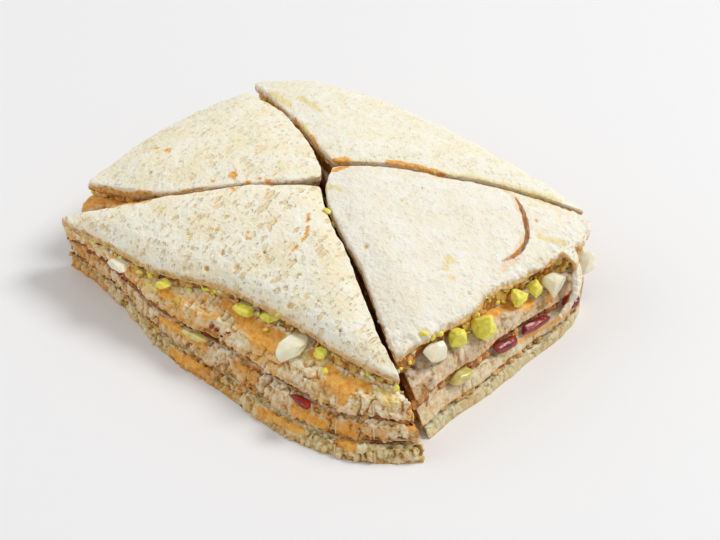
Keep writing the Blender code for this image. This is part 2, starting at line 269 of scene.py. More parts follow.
def detailed_copy(name, side_edge, top_edge, crease=CREASE, soften=3):
    """A fine copy of a node's solid, with how open each point is and how far it is from each rim."""
    bm = solid_copy(name)
    upper = rim_points(bm, 1)
    lower = rim_points(bm, -1)
    bm = rounded(bm, crease, 2)
    seen = bm.verts.layers.float.new("open")
    flat = bm.verts.layers.float.new("flat")
    to_upper = bm.verts.layers.float.new("to_upper")
    to_lower = bm.verts.layers.float.new("to_lower")
    for vertex in bm.verts:
        vertex[seen] = openness(vertex.co, vertex.normal) if vertex.co.z > 0.2 * MM else 0.0
        vertex[flat] = abs(vertex.normal.z)
        vertex[to_upper] = (upper.find(vertex.co)[2] or 0) / MM
        vertex[to_lower] = (lower.find(vertex.co)[2] or 0) / MM
        vertex[flat] = 1.0 if vertex[flat] > 0.85 and vertex[to_upper] > 3 else 0.0
    bm = refined(bm, side_edge, top_edge)
    shown = [vertex for vertex in bm.verts if vertex[seen] > 0]
    for _ in range(soften):
        bmesh.ops.smooth_vert(bm, verts=shown, factor=0.5, use_axis_x=True, use_axis_y=True, use_axis_z=True)
    mesh = bpy.data.meshes.new(name + "_looks")
    bm.to_mesh(mesh)
    bm.free()
    mesh.validate()
    return mesh


def column(mesh, attribute):
    values = np.zeros(len(mesh.vertices), np.float32)
    mesh.attributes[attribute].data.foreach_get("value", values)
    return values.astype(float)


def places_of(mesh):
    places = np.zeros(len(mesh.vertices) * 3, np.float32)
    mesh.vertices.foreach_get("co", places)
    return places.reshape(-1, 3).astype(float) / MM


def normals_of(mesh):
    normals = np.zeros(len(mesh.vertices) * 3, np.float32)
    mesh.vertex_normals.foreach_get("vector", normals)
    return normals.reshape(-1, 3).astype(float)


def set_places(mesh, places):
    places[:, 2] = np.maximum(places[:, 2], 0)
    mesh.vertices.foreach_set("co", (places * MM).astype(np.float32).ravel())
    mesh.update()


def paint_seen(mesh, seen, layers):
    """Stores a number for each point that shows, under the names that the materials read."""
    for attribute, values in layers.items():
        every_value = np.zeros(len(mesh.vertices), np.float32)
        every_value[seen] = values
        layer = mesh.attributes.new(attribute, "FLOAT", "POINT")
        layer.data.foreach_set("value", every_value)


def show(mesh, name, material, slot, *replaced):
    """Puts a finished mesh in the scene as a piece of the object."""
    mesh.shade_smooth()
    mesh.materials.append(material)
    thing = bpy.data.objects.new(name, mesh)
    bpy.context.scene.collection.objects.link(thing)
    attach(thing, "root")
    if replaced:
        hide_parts(*replaced)
    return thing


# Places in the photograph

def seen_on(tree, across, down):
    """The place of a surface that lies at a pixel of the photograph, or nearest to it."""
    reach = LENS / SENSOR * PICTURE_WIDE
    look = CAMERA_RIGHT * (across - PICTURE_WIDE / 2) - CAMERA_UP * (down - PICTURE_HIGH / 2)
    look -= CAMERA_BACK * reach
    look.normalize()
    place, normal, _, _ = tree.ray_cast(CAMERA_PLACE, look)
    if place is not None:
        return place, normal
    finds = [tree.find_nearest(CAMERA_PLACE + look * step * 1.5 * MM) for step in range(350, 700)]
    place, normal, _, _ = min(finds, key=lambda find: find[3])
    return place, normal


# Marks on the bread. Each has a radius in millimetres and the pixels that it runs through.
SAUCE_MARKS = {
    "front_bread_2": (
        (2.6, (226, 303), (246, 317)), (3.4, (244, 322), (278, 338)), (2.8, (256, 334), (274, 344)),
        (3.4, (331, 371), (345, 390)), (2.6, (340, 394), (342, 401)), (2.2, (350, 380), (368, 387)),
        (1.8, (312, 352), (318, 358)), (1.4, (206, 297)), (1.6, (160, 290), (172, 297)),
    ),
    "front_bread_3": (
        (2.6, (296, 410), (322, 424)), (2.2, (342, 430), (352, 434)), (2.0, (160, 318), (205, 347)),
    ),
    "front_bread_4": (
        (2.4, (172, 352), (195, 366)), (2.2, (262, 412), (300, 430)), (2.6, (340, 440), (352, 446)),
    ),
    "right_bread_2": ((3.2, (478, 322), (498, 308), (512, 304), (530, 303)), (1.6, (548, 300), (556, 270))),
    "right_bread_3": ((2.4, (410, 402), (424, 388), (436, 376)), (1.0, (500, 352), (560, 318))),
    "front_bread_1": (
        (0.8, (112, 216)), (1.0, (217, 229)), (0.8, (248, 232)), (0.8, (250, 238)),
        (0.7, (309, 212), (307, 221)),
        (0.8, (309, 226), (306, 233)), (0.7, (306, 235), (302, 241)), (0.8, (297, 246), (293, 250)),
        (0.9, (206, 268)), (1.1, (110, 206), (150, 200)), (0.6, (155, 198), (190, 193), (203, 190)),
        (0.9, (232, 186), (234, 190)), (1.0, (264, 184), (272, 185)),
    ),
    "left_bread_1": (
        (1.5, (156, 147)), (1.7, (168, 150)), (1.2, (215, 105)), (1.1, (213, 181)), (2.2, (233, 175)),
        (1.4, (248, 182)), (0.8, (260, 178)), (1.5, (267, 180)), (1.2, (90, 190), (150, 193)),
        (0.6, (155, 195), (190, 190), (203, 188)),
    ),
    "right_bread_1": (
        (1.0, (537, 220)), (1.6, (334, 170), (346, 166)), (1.0, (390, 166), (415, 169), (443, 177)),
        (1.1, (552, 262), (548, 276)),
    ),
    "back_bread_1": (
        (1.1, (295, 119), (302, 129)), (1.2, (311, 135), (317, 146)), (2.3, (334, 160), (346, 160)),
        (1.4, (388, 162), (400, 163), (415, 166), (430, 170), (443, 174)),
    ),
    "left_bread_2": ((5.0, (88, 200), (122, 198)), (2.4, (120, 197), (150, 196))),
    "left_egg": ((5.0, (88, 198), (122, 196)), (3.0, (122, 196), (150, 196))),
    "right_egg": ((4.0, (404, 358), (426, 358)), (3.0, (500, 303), (540, 292))),
}
YELLOW_MARKS = {
    "right_bread_1": (
        (2.2, (450, 259)), (2.0, (446, 267)), (1.6, (452, 277)), (1.2, (530, 205)), (1.4, (560, 215)),
        (1.6, (322, 186), (340, 188)), (0.9, (350, 165), (375, 165)),
        (0.9, (443, 177), (470, 181), (500, 188)),
        (1.1, (505, 190), (520, 194), (540, 201), (560, 206), (572, 211)), (1.6, (540, 236), (566, 244)),
    ),
    "back_bread_1": (
        (2.0, (272, 93), (290, 105)), (1.6, (302, 126), (308, 132)), (1.0, (350, 161), (375, 161)),
        (0.9, (443, 174), (470, 176), (500, 183)), (1.2, (505, 184), (520, 189), (540, 195), (560, 201)),
        (1.6, (300, 97), (320, 110)),
    ),
    "left_bread_1": ((0.8, (130, 144)), (1.4, (150, 133)), (1.4, (240, 140)), (1.2, (305, 156), (316, 158)),
                     (1.6, (262, 96), (280, 107))),
    "front_bread_1": ((1.2, (150, 222)), (1.2, (190, 236)), (1.2, (228, 216))),
    "front_bread_2": (
        (3.0, (145, 280), (175, 300)), (2.0, (305, 352), (330, 366)), (2.4, (382, 392), (392, 404)),
    ),
}
HOLE_MARKS = {
    "front_bread_1": (
        (1.2, (206, 268)), (1.3, (236, 267)), (1.3, (290, 306)), (0.9, (264, 252)), (1.0, (222, 253)),
        (0.8, (246, 238)), (0.8, (300, 274)), (0.9, (340, 330)), (0.8, (318, 300)),
        (0.6, (309, 213), (308, 219)),
    ),
    "left_bread_1": ((0.9, (180, 160)), (0.9, (214, 148)), (0.9, (150, 172)), (0.8, (236, 120))),
    "right_bread_1": (
        (1.2, (366, 246)), (0.8, (402, 200)), (0.7, (470, 293)), (0.5, (386, 243)), (0.7, (422, 188)),
    ),
    "right_bread_2": ((1.5, (411, 364)),),
}
SLIT_MARKS = {
    "right_bread_1": (
        (1.8, (502, 183), (513, 196), (520, 210), (525, 222), (526, 233), (523, 240), (520, 247), (513, 259),
         (504, 268)),
    ),
}
MARK_STEP = 0.7
# The share of a mark's cover at which its ragged edge starts and is full.
MARK_EDGE = (0.28, 0.62)


def covered(places, marks, name, ragged, salt):
    """How much the marks of a node cover each place: 1 along a mark's middle, 0 outside it."""
    cover = np.zeros(len(places))
    if name not in marks:
        return cover
    tree = tree_of([name])
    for radius, *stops in marks[name]:
        found = [np.array(seen_on(tree, *stop)[0]) / MM for stop in stops]
        line = [found[0]]
        for start, end in zip(found, found[1:]):
            steps = max(1, int(np.linalg.norm(end - start) / MARK_STEP))
            line += [start + (end - start) * (step + 1) / steps for step in range(steps)]
        gap = np.full(len(places), 1e9)
        for middle in line:
            gap = np.minimum(gap, ((places - middle) ** 2).sum(axis=1))
        cover += np.exp(-1.1 * gap / radius ** 2)
    wander = drift(places, 1.7, salt) * ragged + 0.5 * drift(places, 0.8, salt + 1) * ragged
    return rise_between(cover + wander * (cover > 0.02), *MARK_EDGE)


# Bread

# How open the crumb of each wedge's top is, how rough its cut sides are, and the way its bubbles run.
TOP_CRUMB = {"front": 0.8, "right": 0.3, "back": 0.35, "left": 0.6}
SIDE_CRUMB = {"front": 1.0, "right": 0.26, "back": 0.8, "left": 0.8}
STRETCH = {
    "front": (1.0, 0.5, 1.0),
    "right": (0.8, 0.8, 1.0),
    "back": (0.9, 0.7, 1.0),
    "left": (1.0, 0.6, 1.0),
}
# The height below which the right wedge's top slice is the torn strip that hangs at its corner.
STRIP_TOP = 40.0
# How orange the torn sides of each wedge are.
TINT = {"front": 0.9, "right": 0.4, "back": 0.5, "left": 0.7}


def crumb(mesh, name, wedge, kind, salt):
    """Opens the bubbles of the bread, tears its cut sides into tufts and tints its rims."""
    every_place = places_of(mesh)
    view = column(mesh, "open")
    seen = np.nonzero(view > 0)[0]
    places = every_place[seen]
    normals = normals_of(mesh)[seen]
    view = view[seen]
    to_upper = column(mesh, "to_upper")[seen]
    to_lower = column(mesh, "to_lower")[seen]
    is_top = kind == "bread_1"
    has_upper_rim = 0 if is_top else 1
    upright = rise_between(1 - np.abs(normals[:, 2]), 0.15, 0.5)
    shown = rise_between(view, 0.0, OPEN_ENOUGH)
    cut = upright * rise_between(3.4 - to_lower, 0.0, 1.6) if is_top else np.maximum(upright, shown)
    rough = SIDE_CRUMB[wedge] * (0.7 if is_top else 1.0) * cut

    # Two sizes of open bubble for the tops, then tufts, grains and fissures for the torn sides.
    run = places * np.array(STRETCH[wedge])
    wide = bubbles(run, 5.2, 0.7, 1.3, 0.22, salt)
    middling = bubbles(run, 3.0, 0.5, 0.9, 0.30, salt + 20)
    tall = places * np.array((1.0, 1.0, 0.6))
    tuft = bubbles(tall, 3.9, 1.8, 2.7, 1.0, salt + 30)
    small_tuft = bubbles(tall, 2.0, 0.9, 1.35, 1.0, salt + 40)
    grain = bubbles(places, 1.15, 0.45, 0.8, 0.9, salt + 50)
    fissure = 1 - rise_between(np.abs(drift(places * np.array((1.0, 1.0, 0.42)), 3.4, salt + 60)), 0.0, 0.16)
    fissure *= rise_between(drift(places, 6.0, salt + 61), -0.35, 0.15)

    hole = covered(places, HOLE_MARKS, name, 0.2, salt + 12)
    stain = covered(places, SAUCE_MARKS, name, 0.22, salt + 13)
    yellow = covered(places, YELLOW_MARKS, name, 0.3, salt + 14)
    slit = covered(places, SLIT_MARKS, name, 0.25, salt + 15) * (0.3 + 0.7 * upright)
    smooth = 1 - (0.2 if is_top else 0.75) * stain

    # Each point moves along its normal, and the torn rims are also frayed up and down.
    dent = TOP_CRUMB[wedge] * (1 - cut) * (0.7 * wide + 0.35 * middling)
    fluff = drift(tall, 1.7, salt + 70) + 0.6 * drift(places, 0.85, salt + 71)
    relief = 0.5 * tuft + 0.45 * small_tuft + 0.4 * grain + 0.55 * fluff - 1.1 * fissure - 0.7
    lift = 0.3 * drift(places, 7.0, salt + 7) + 0.22 * drift(places, 2.2, salt + 8)
    lift += rough * (smooth * relief + 0.9 * drift(places, 7.0, salt + 9))
    if name == "right_bread_1":
        hanging = rise_between(STRIP_TOP - places[:, 2], 0.0, 4.0)
        lift += hanging * (0.7 * drift(places, 2.4, salt + 80) + 0.5 * drift(places, 1.1, salt + 81))
    move = (lift - dent - 1.0 * hole) * shown
    places = places + normals * move[:, None]
    fray = 1.3 * drift(places, 2.6, salt + 16) + 0.8 * drift(places, 1.3, salt + 17)
    hem = np.exp(-to_lower / 1.6) + has_upper_rim * np.exp(-to_upper / 1.6)
    places[:, 2] += SIDE_CRUMB[wedge] * fray * hem * upright * shown
    every_place[seen] = places
    set_places(mesh, every_place)

    # What the materials read: how deep a point lies and where a side is shut in at a seam, both for painted
    # shade, and where it is golden or stained.
    ragged = 1 + 0.9 * drift(places, 2.0, salt + 18)
    under_rim = np.exp(-to_lower / (1.3 * ragged + 0.35)) * upright
    over_rim = np.exp(-to_upper / (0.9 * ragged + 0.3)) * upright * has_upper_rim
    depth = 0.8 - (0.3 * tuft + 0.26 * small_tuft + 0.2 * grain + 0.3 * fluff) + 0.5 * fissure
    tint = rise_between(drift(places, 11.0, salt + 19) + 0.5 * drift(places, 3.0, salt + 21), 0.1, 0.7)
    near = np.exp(-np.minimum(to_upper, to_lower) / 2.5)
    layers = {
        # Painted shade: how deep a point lies among the crumb's tufts, fissures, bubbles and holes.
        "pit_shade": np.clip(depth * cut + (dent * 1.1 + hole) * (1 - cut) + hole * cut, 0, 1),
        "rim": np.clip(under_rim + 0.6 * over_rim, 0, 1),
        "sauce": stain,
        "yellow": yellow,
        "slit": slit,
        "cut": cut,
        "tint": np.clip(tint * (0.4 + near), 0, 1) * TINT[wedge],
        # seam: painted shade, brown where an upright side sees little out between the slices.
        "seam": upright * (1 - rise_between(view, 0.12, 0.4)),
    }
    paint_seen(mesh, seen, layers)


# Fillings

# How lumpy each filling is at its open side.
FILLING_ROUGH = {"egg": 0.8, "pepper": 0.8, "tuna": 1.1}


def spread(mesh, name, kind, salt):
    """Turns a filling's plain rim into lumps of sauce and shreds."""
    every_place = places_of(mesh)
    view = column(mesh, "open")
    seen = np.nonzero(view > 0)[0]
    places = every_place[seen]
    normals = normals_of(mesh)[seen]
    shown = rise_between(view[seen], 0.0, 0.15)
    lump = bubbles(places * np.array((1.0, 1.0, 0.8)), 3.2, 1.2, 2.1, 0.9, salt)
    grain = bubbles(places, 1.5, 0.45, 0.85, 0.8, salt + 20)
    stain = covered(places, SAUCE_MARKS, name, 0.2, salt + 13)
    lift = 0.9 * lump + 0.45 * grain
    lift += 0.7 * drift(places, 5.0, salt + 40) + 0.3 * drift(places, 1.4, salt + 41)
    lift = lift * (1 - 0.5 * stain) - 0.7
    places = places + normals * (FILLING_ROUGH[kind] * lift * shown)[:, None]
    every_place[seen] = places
    set_places(mesh, every_place)
    layers = {
        "lump": np.clip(lump * 0.7 + grain * 0.45, 0, 1),
        "grain": rise_between(drift(places, 2.2, salt + 42), -0.1, 0.5),
        "sauce": stain,
    }
    paint_seen(mesh, seen, layers)


# Materials

def colour(red, green, blue):
    """A screen colour, 0 to 255, as the renderer's own."""
    shares = [value / 255 for value in (red, green, blue)]
    return [share / 12.92 if share <= 0.04045 else ((share + 0.055) / 1.055) ** 2.4 for share in shares] + [1]


class Finish:
    """A material and short words for the nodes that it is made of."""

    def __init__(self, name):
        self.material = bpy.data.materials.new(name)
        self.material.use_nodes = True
        self.nodes = self.material.node_tree.nodes
        self.links = self.material.node_tree.links
        self.shader = self.nodes["Principled BSDF"]
        self.place = self.nodes.new("ShaderNodeTexCoord").outputs["Object"]

    def stretched(self, scale):
        mapping = self.nodes.new("ShaderNodeMapping")
        mapping.inputs["Scale"].default_value = scale
        self.links.new(self.place, mapping.inputs["Vector"])
        return mapping.outputs["Vector"]

    def noise(self, size, detail=2.0):
        node = self.nodes.new("ShaderNodeTexNoise")
        node.inputs["Scale"].default_value = 1 / (size * MM)
        node.inputs["Detail"].default_value = detail
        self.links.new(self.place, node.inputs["Vector"])
        return node.outputs["Fac"]

    def pores(self, size, stretch, least, reach):
        """Uneven pores of many sizes, 1 inside one and 0 outside."""
        warp = self.nodes.new("ShaderNodeTexNoise")
        warp.inputs["Scale"].default_value = 1 / (size * 0.6 * MM)
        place = self.stretched(stretch)
        self.links.new(place, warp.inputs["Vector"])
        swing = self.nodes.new("ShaderNodeVectorMath")
        swing.operation = "SCALE"
        swing.inputs["Scale"].default_value = size * 0.75 * MM
        self.links.new(warp.outputs["Color"], swing.inputs[0])
        moved = self.nodes.new("ShaderNodeVectorMath")
        moved.operation = "ADD"
        self.links.new(place, moved.inputs[0])
        self.links.new(swing.outputs["Vector"], moved.inputs[1])
        cells = self.nodes.new("ShaderNodeTexVoronoi")
        cells.inputs["Scale"].default_value = 1 / (size * MM)
        self.links.new(moved.outputs["Vector"], cells.inputs["Vector"])
        apart = self.nodes.new("ShaderNodeSeparateColor")
        self.links.new(cells.outputs["Color"], apart.inputs["Color"])
        radius = self.between(apart.outputs["Red"], least, 1.0, 0.0, reach)
        return self.between(self.maths("SUBTRACT", radius, cells.outputs["Distance"]), 0.0, 0.26)

    def painted(self, attribute):
        """A number stored at the mesh's points."""
        node = self.nodes.new("ShaderNodeAttribute")
        node.attribute_name = attribute
        return node.outputs["Fac"]

    def between(self, value, low, high, start=0.0, end=1.0):
        """A value between low and high, moved to lie between start and end."""
        node = self.nodes.new("ShaderNodeMapRange")
        node.inputs["From Min"].default_value = low
        node.inputs["From Max"].default_value = high
        node.inputs["To Min"].default_value = start
        node.inputs["To Max"].default_value = end
        self.links.new(value, node.inputs["Value"])
        return node.outputs["Result"]

    def blend(self, share, first, second):
        node = self.nodes.new("ShaderNodeMix")
        node.data_type = "RGBA"
        self.links.new(share, node.inputs["Factor"])
        for socket, source in ((node.inputs["A"], first), (node.inputs["B"], second)):
            if isinstance(source, list):
                socket.default_value = source
            else:
                self.links.new(source, socket)
        return node.outputs["Result"]

    def maths(self, operation, first, second):
        node = self.nodes.new("ShaderNodeMath")
        node.operation = operation
        for socket, source in zip(node.inputs, (first, second)):
            if isinstance(source, (int, float)):
                socket.default_value = source
            else:
                self.links.new(source, socket)
        return node.outputs["Value"]

    def times(self, first, second):
        return self.maths("MULTIPLY", first, second)

    def relief(self, height, depth, strength=1.0, under=None, sunk=False):
        node = self.nodes.new("ShaderNodeBump")
        node.invert = sunk
        node.inputs["Distance"].default_value = depth * MM
        node.inputs["Strength"].default_value = strength
        self.links.new(height, node.inputs["Height"])
        if under is not None:
            self.links.new(under, node.inputs["Normal"])
        return node.outputs["Normal"]

    def finish(self, base, roughness, normal=None, **sockets):
        self.links.new(base, self.shader.inputs["Base Color"])
        if isinstance(roughness, (int, float)):
            self.shader.inputs["Roughness"].default_value = roughness
        else:
            self.links.new(roughness, self.shader.inputs["Roughness"])
        if normal is not None:
            self.links.new(normal, self.shader.inputs["Normal"])
        for name, value in sockets.items():
            self.shader.inputs[name.replace("_", " ")].default_value = value
        return self.material


SAUCE = colour(250, 188, 88)
SAUCE_DARK = colour(230, 148, 44)
GOLD = colour(238, 180, 92)
# Painted shade for the closed-in seams between slices.
SEAM_SHADE_BROWN = colour(204, 148, 78)
STAIN_YELLOW = colour(240, 212, 92)


def tinted(look, base, rim):
    """Adds the golden rims, painted shade in the seams, the stains of egg and the orange sauce to bread."""
    patchy = look.between(look.noise(1.1, 3.0), 0.25, 0.6, 0.45, 1.0)
    base = look.blend(look.times(look.painted("rim"), patchy), base, rim)
    # Painted shade: brown where a side is shut in at a seam.
    base = look.blend(look.times(look.painted("seam"), 0.8), base, SEAM_SHADE_BROWN)
    base = look.blend(look.times(look.painted("yellow"), look.times(patchy, 0.6)), base, STAIN_YELLOW)
    orange = look.blend(look.between(look.noise(2.0, 3.0), 0.42, 0.66), SAUCE, SAUCE_DARK)
    base = look.blend(look.times(look.painted("sauce"), 0.95), base, orange)
    return look.blend(look.painted("slit"), base, look.blend(look.noise(1.4), SAUCE, SAUCE_DARK))


def top_finish(name, light, shade, pore_shade, share, stretch, cut):
    """The smooth white face of a top slice, with open pores and pits painted darker inside as shade, and its
    torn golden rim, browner as painted shade where it lies deep.
    """
    look = Finish(name)
    base = look.blend(look.between(look.noise(10.0, 3.0), 0.36, 0.64), light, shade)
    large = look.pores(2.7, stretch, 0.45, 0.62)
    small = look.pores(1.4, stretch, 0.25, 0.6)
    open_crumb = look.maths("MAXIMUM", large, look.times(small, 0.75))
    # Painted shade inside the open pores.
    base = look.blend(look.times(open_crumb, share), base, pore_shade)
    # Painted shade: the deep parts of the torn rim are browner.
    torn = look.blend(look.between(look.painted("pit_shade"), 0.25, 0.85), cut, colour(214, 160, 96))
    base = look.blend(look.painted("cut"), base, torn)
    # Painted shade in the pits, dents and holes of the crumb.
    base = look.blend(look.between(look.painted("pit_shade"), 0.15, 0.9), base, pore_shade)
    base = tinted(look, base, GOLD)
    roughness = look.between(look.painted("sauce"), 0.3, 1.0, 0.92, 0.42)
    normal = look.relief(open_crumb, 0.5 * share + 0.15, 1.0, sunk=True)
    normal = look.relief(look.noise(1.4, 5.0), 0.8, 0.9, under=normal)
    return look.finish(base, roughness, normal, Subsurface_Weight=0.12, Subsurface_Scale=0.0015,
                       Specular_IOR_Level=0.25)


def crumb_finish(name, peak, middle, recess_shade, tint, rim):
    """Torn bread at a cut side: pale where it stands out and brown where it lies deep, the brown a painted
    shade.
    """
    look = Finish(name)
    pit_shade = look.painted("pit_shade")
    fine = look.noise(1.0, 4.0)
    depth = look.maths("ADD", pit_shade, look.between(fine, 0.3, 0.7, -0.22, 0.22))
    grey = look.blend(look.between(look.noise(7.0, 2.0), 0.4, 0.6), peak, middle)
    # Painted shade: the crumb darkens from its pale peaks to brown as it lies deeper.
    base = look.blend(look.between(depth, 0.1, 0.5), peak, grey)
    base = look.blend(look.between(depth, 0.35, 0.7), base, middle)
    base = look.blend(look.painted("tint"), base, tint)
    base = look.blend(look.between(depth, 0.6, 1.05), base, recess_shade)
    base = tinted(look, base, rim)
    roughness = look.between(look.painted("sauce"), 0.3, 1.0, 0.92, 0.36)
    normal = look.relief(fine, 0.35, 0.9)
    return look.finish(base, roughness, normal, Subsurface_Weight=0.1, Subsurface_Scale=0.001,
                       Specular_IOR_Level=0.25)


def sauce_finish(name, bright, deep, bits):
    """A filling held together by orange sauce."""
    look = Finish(name)
    base = look.blend(look.between(look.noise(4.0, 3.0), 0.38, 0.62), bright, deep)
    base = look.blend(look.times(look.painted("grain"), 0.8), base, bits)
    base = look.blend(look.painted("sauce"), base, SAUCE)
    # Painted shade: dark brown in the hollows between the lumps of the filling.
    base = look.blend(look.between(look.painted("lump"), 0.42, 0.05), base, colour(172, 108, 40))
    normal = look.relief(look.noise(0.7, 3.0), 0.3, 0.7)
    return look.finish(base, 0.42, normal, Subsurface_Weight=0.1, Subsurface_Scale=0.0012,
                       Specular_IOR_Level=0.5)


def piece_finish(name, first, second, size, roughness, depth, **sockets):
    """Egg, pepper, fish or a strand of bread: two close tones in patches and a low relief."""
    look = Finish(name)
    base = look.blend(look.between(look.noise(size, 3.0), 0.38, 0.62), first, second)
    normal = look.relief(look.noise(size / 2, 3.0), depth, 0.7)
    return look.finish(base, roughness, normal, **sockets)


# The painted shade inside the pores and holes of the tops.
PORE_SHADE = colour(246, 216, 160)
finishes = {
    "front_bread_1": top_finish("open top crumb", colour(255, 250, 232), colour(253, 240, 208), PORE_SHADE, 0.8,
                                (1.0, 0.45, 1.0), colour(236, 214, 172)),
    "left_bread_1": top_finish("soft top crumb", colour(253, 247, 228), colour(250, 239, 206), PORE_SHADE, 0.55,
                               (1.0, 0.55, 1.0), colour(238, 218, 176)),
    "back_bread_1": top_finish("plain top crumb", colour(252, 248, 232), colour(249, 242, 216), PORE_SHADE, 0.3,
                               (0.9, 0.7, 1.0), colour(240, 222, 184)),
    "right_bread_1": top_finish("pale top crumb", colour(250, 246, 234), colour(247, 239, 218), PORE_SHADE, 0.2,
                                (0.8, 0.8, 1.0), colour(238, 220, 186)),
    "bread_2": crumb_finish("upper inner crumb", colour(255, 247, 220), colour(248, 224, 172),
                            colour(206, 148, 76), colour(246, 186, 88), colour(236, 172, 76)),
    "bread_3": crumb_finish("lower inner crumb", colour(250, 236, 204), colour(230, 202, 154),
                            colour(162, 106, 54), colour(238, 168, 72), colour(228, 160, 68)),
    "bread_4": crumb_finish("bottom crumb", colour(246, 236, 198), colour(218, 196, 138),
                            colour(144, 104, 44), colour(236, 162, 62), colour(226, 166, 72)),
    # The right wedge's own crumbs: its cut crumb is greyer, and these tones are also darker all over as
    # painted shade of its shadowed side.
    "right_bread_2": crumb_finish("cut upper crumb", colour(236, 222, 198), colour(214, 194, 166),
                                  colour(160, 122, 82), colour(238, 180, 104), colour(228, 180, 112)),
    "right_bread_3": crumb_finish("cut lower crumb", colour(242, 234, 208), colour(228, 214, 180),
                                  colour(192, 160, 112), colour(238, 184, 112), colour(228, 184, 120)),
    "right_bread_4": crumb_finish("cut bottom crumb", colour(232, 228, 200), colour(212, 206, 168),
                                  colour(164, 148, 102), colour(234, 182, 106), colour(220, 184, 118)),
    "egg": sauce_finish("egg filling", colour(232, 184, 84), colour(206, 148, 54), colour(232, 212, 104)),
    "pepper": sauce_finish("pepper filling", colour(242, 186, 100), colour(216, 148, 68),
                           colour(176, 84, 48)),
    "tuna": sauce_finish("tuna filling", colour(240, 186, 100), colour(218, 156, 72), colour(232, 206, 148)),
    "egg_white": piece_finish("egg white", colour(250, 247, 224), colour(242, 236, 200), 3.5, 0.25, 0.08,
                              Subsurface_Weight=0.35, Subsurface_Scale=0.002, Coat_Weight=0.25),
    "yolk": piece_finish("egg yolk", colour(253, 246, 118), colour(238, 226, 74), 1.6, 0.6, 0.3,
                         Subsurface_Weight=0.25, Subsurface_Scale=0.0015),
    "red_pepper": piece_finish("red pepper", colour(158, 34, 26), colour(112, 16, 14), 3.0, 0.28, 0.2,
                               Subsurface_Weight=0.15, Subsurface_Scale=0.0015, Coat_Weight=0.15),
    "pale_pepper": piece_finish("pale pepper", colour(226, 216, 140), colour(206, 190, 106), 3.0, 0.25, 0.12,
                                Subsurface_Weight=0.3, Subsurface_Scale=0.002, Coat_Weight=0.3),
    "tuna_shreds": piece_finish("tuna shreds", colour(222, 196, 142), colour(190, 150, 92), 2.0, 0.6, 0.2),
    "strands": piece_finish("torn strands", colour(236, 220, 176), colour(220, 190, 130), 2.0, 0.8, 0.2),
}


# The slices and fillings

finished = {}
salt = 100
for wedge in WEDGES:
    for kind in BREADS + FILLINGS:
        salt += 100
        name = f"{wedge}_{kind}"
        side_edge = SIDE_EDGE[wedge] * (1.0 if kind in BREADS else 1.15)
        mesh = detailed_copy(name, side_edge, TOP_EDGE if kind == "bread_1" else side_edge)
        if kind in BREADS:
            crumb(mesh, name, wedge, kind, salt)
        else:
            spread(mesh, name, kind, salt)
        material = finishes[name] if name in finishes else finishes[kind]
        finished[name] = show(mesh, name + "_looks", material, SLOTS[kind], name).data


# The loose pieces

# The longest edge, then for each kind: the height of its lumps, its flats, how far out the flats lie,
# and how much the piece grows to make up for what they take away.
PIECE_EDGE = 0.5
PIECE_LUMPS = {"egg_white": 0.07, "yolk": 0.28, "red_pepper": 0.12, "pale_pepper": 0.10}
PIECE_FLATS = {"egg_white": 6, "yolk": 10, "red_pepper": 6, "pale_pepper": 5}
PIECE_REACH = {"egg_white": 0.82, "yolk": 0.72, "red_pepper": 0.82, "pale_pepper": 0.85}
PIECE_GROWTH = {"egg_white": 1.08, "yolk": 1.16, "red_pepper": 1.05, "pale_pepper": 1.08}


def flattened(places, count, least, seed):
    """Places of a piece with flats cut into its sides."""
    rng = random.Random(seed)
    middle = places.mean(axis=0)
    size = np.ptp(places, axis=0) / 2
    shape = (places - middle) / size
    for _ in range(count):
        facing = Vector([rng.gauss(0, 1) for _ in range(3)]).normalized()
        facing = np.array(facing)
        reach = shape @ facing
        level = reach.max() * rng.uniform(least, least + 0.12)
        shape = shape - np.maximum(reach - level, 0)[:, None] * facing
    return shape * size + middle


for name in sorted(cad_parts):
    kind = name.rstrip("0123456789").rstrip("_")
    if kind not in PIECE_LUMPS:
        continue
    salt += 100
    mesh = detailed_copy(name, PIECE_EDGE, PIECE_EDGE, crease=0.8, soften=1)
    places = flattened(places_of(mesh), PIECE_FLATS[kind], PIECE_REACH[kind], salt)
    middle = places.mean(axis=0)
    places = middle + (places - middle) * PIECE_GROWTH[kind]
    set_places(mesh, places)
    normals = normals_of(mesh)
    lift = drift(places, 2.2, salt) + 0.7 * drift(places, 1.0, salt + 1)
    set_places(mesh, places + normals * (PIECE_LUMPS[kind] * lift)[:, None])
    show(mesh, name + "_looks", finishes[kind], SLOTS[kind], name)


# Crumbs and shreds

def add_chip(bm, place, along, normal, size, seed, rounds=2):
    """A small chopped bit: its middle, its length's direction, the way out, and its three sizes."""
    rng = random.Random(seed)
    across = normal.cross(along).normalized()
    along = across.cross(normal).normalized()
    facings = [Vector([rng.gauss(0, 1) for _ in range(3)]).normalized() for _ in range(5)]
    bend = rng.uniform(-0.35, 0.35)
    for vertex in bmesh.ops.create_icosphere(bm, subdivisions=rounds, radius=0.5)["verts"]:
        shape = vertex.co.copy()
        for facing in facings:
            shape -= facing * max(0.0, shape.dot(facing) - 0.33)
        side = shape.y * size[1] + bend * size[0] * shape.x ** 2
        vertex.co = place + (along * shape.x * size[0] + across * side + normal * shape.z * size[2]) * MM


# Where bits may lie: how open the place is, and how level its surface may be.
BIT_OPEN = 0.25
BIT_LEVEL = 0.75


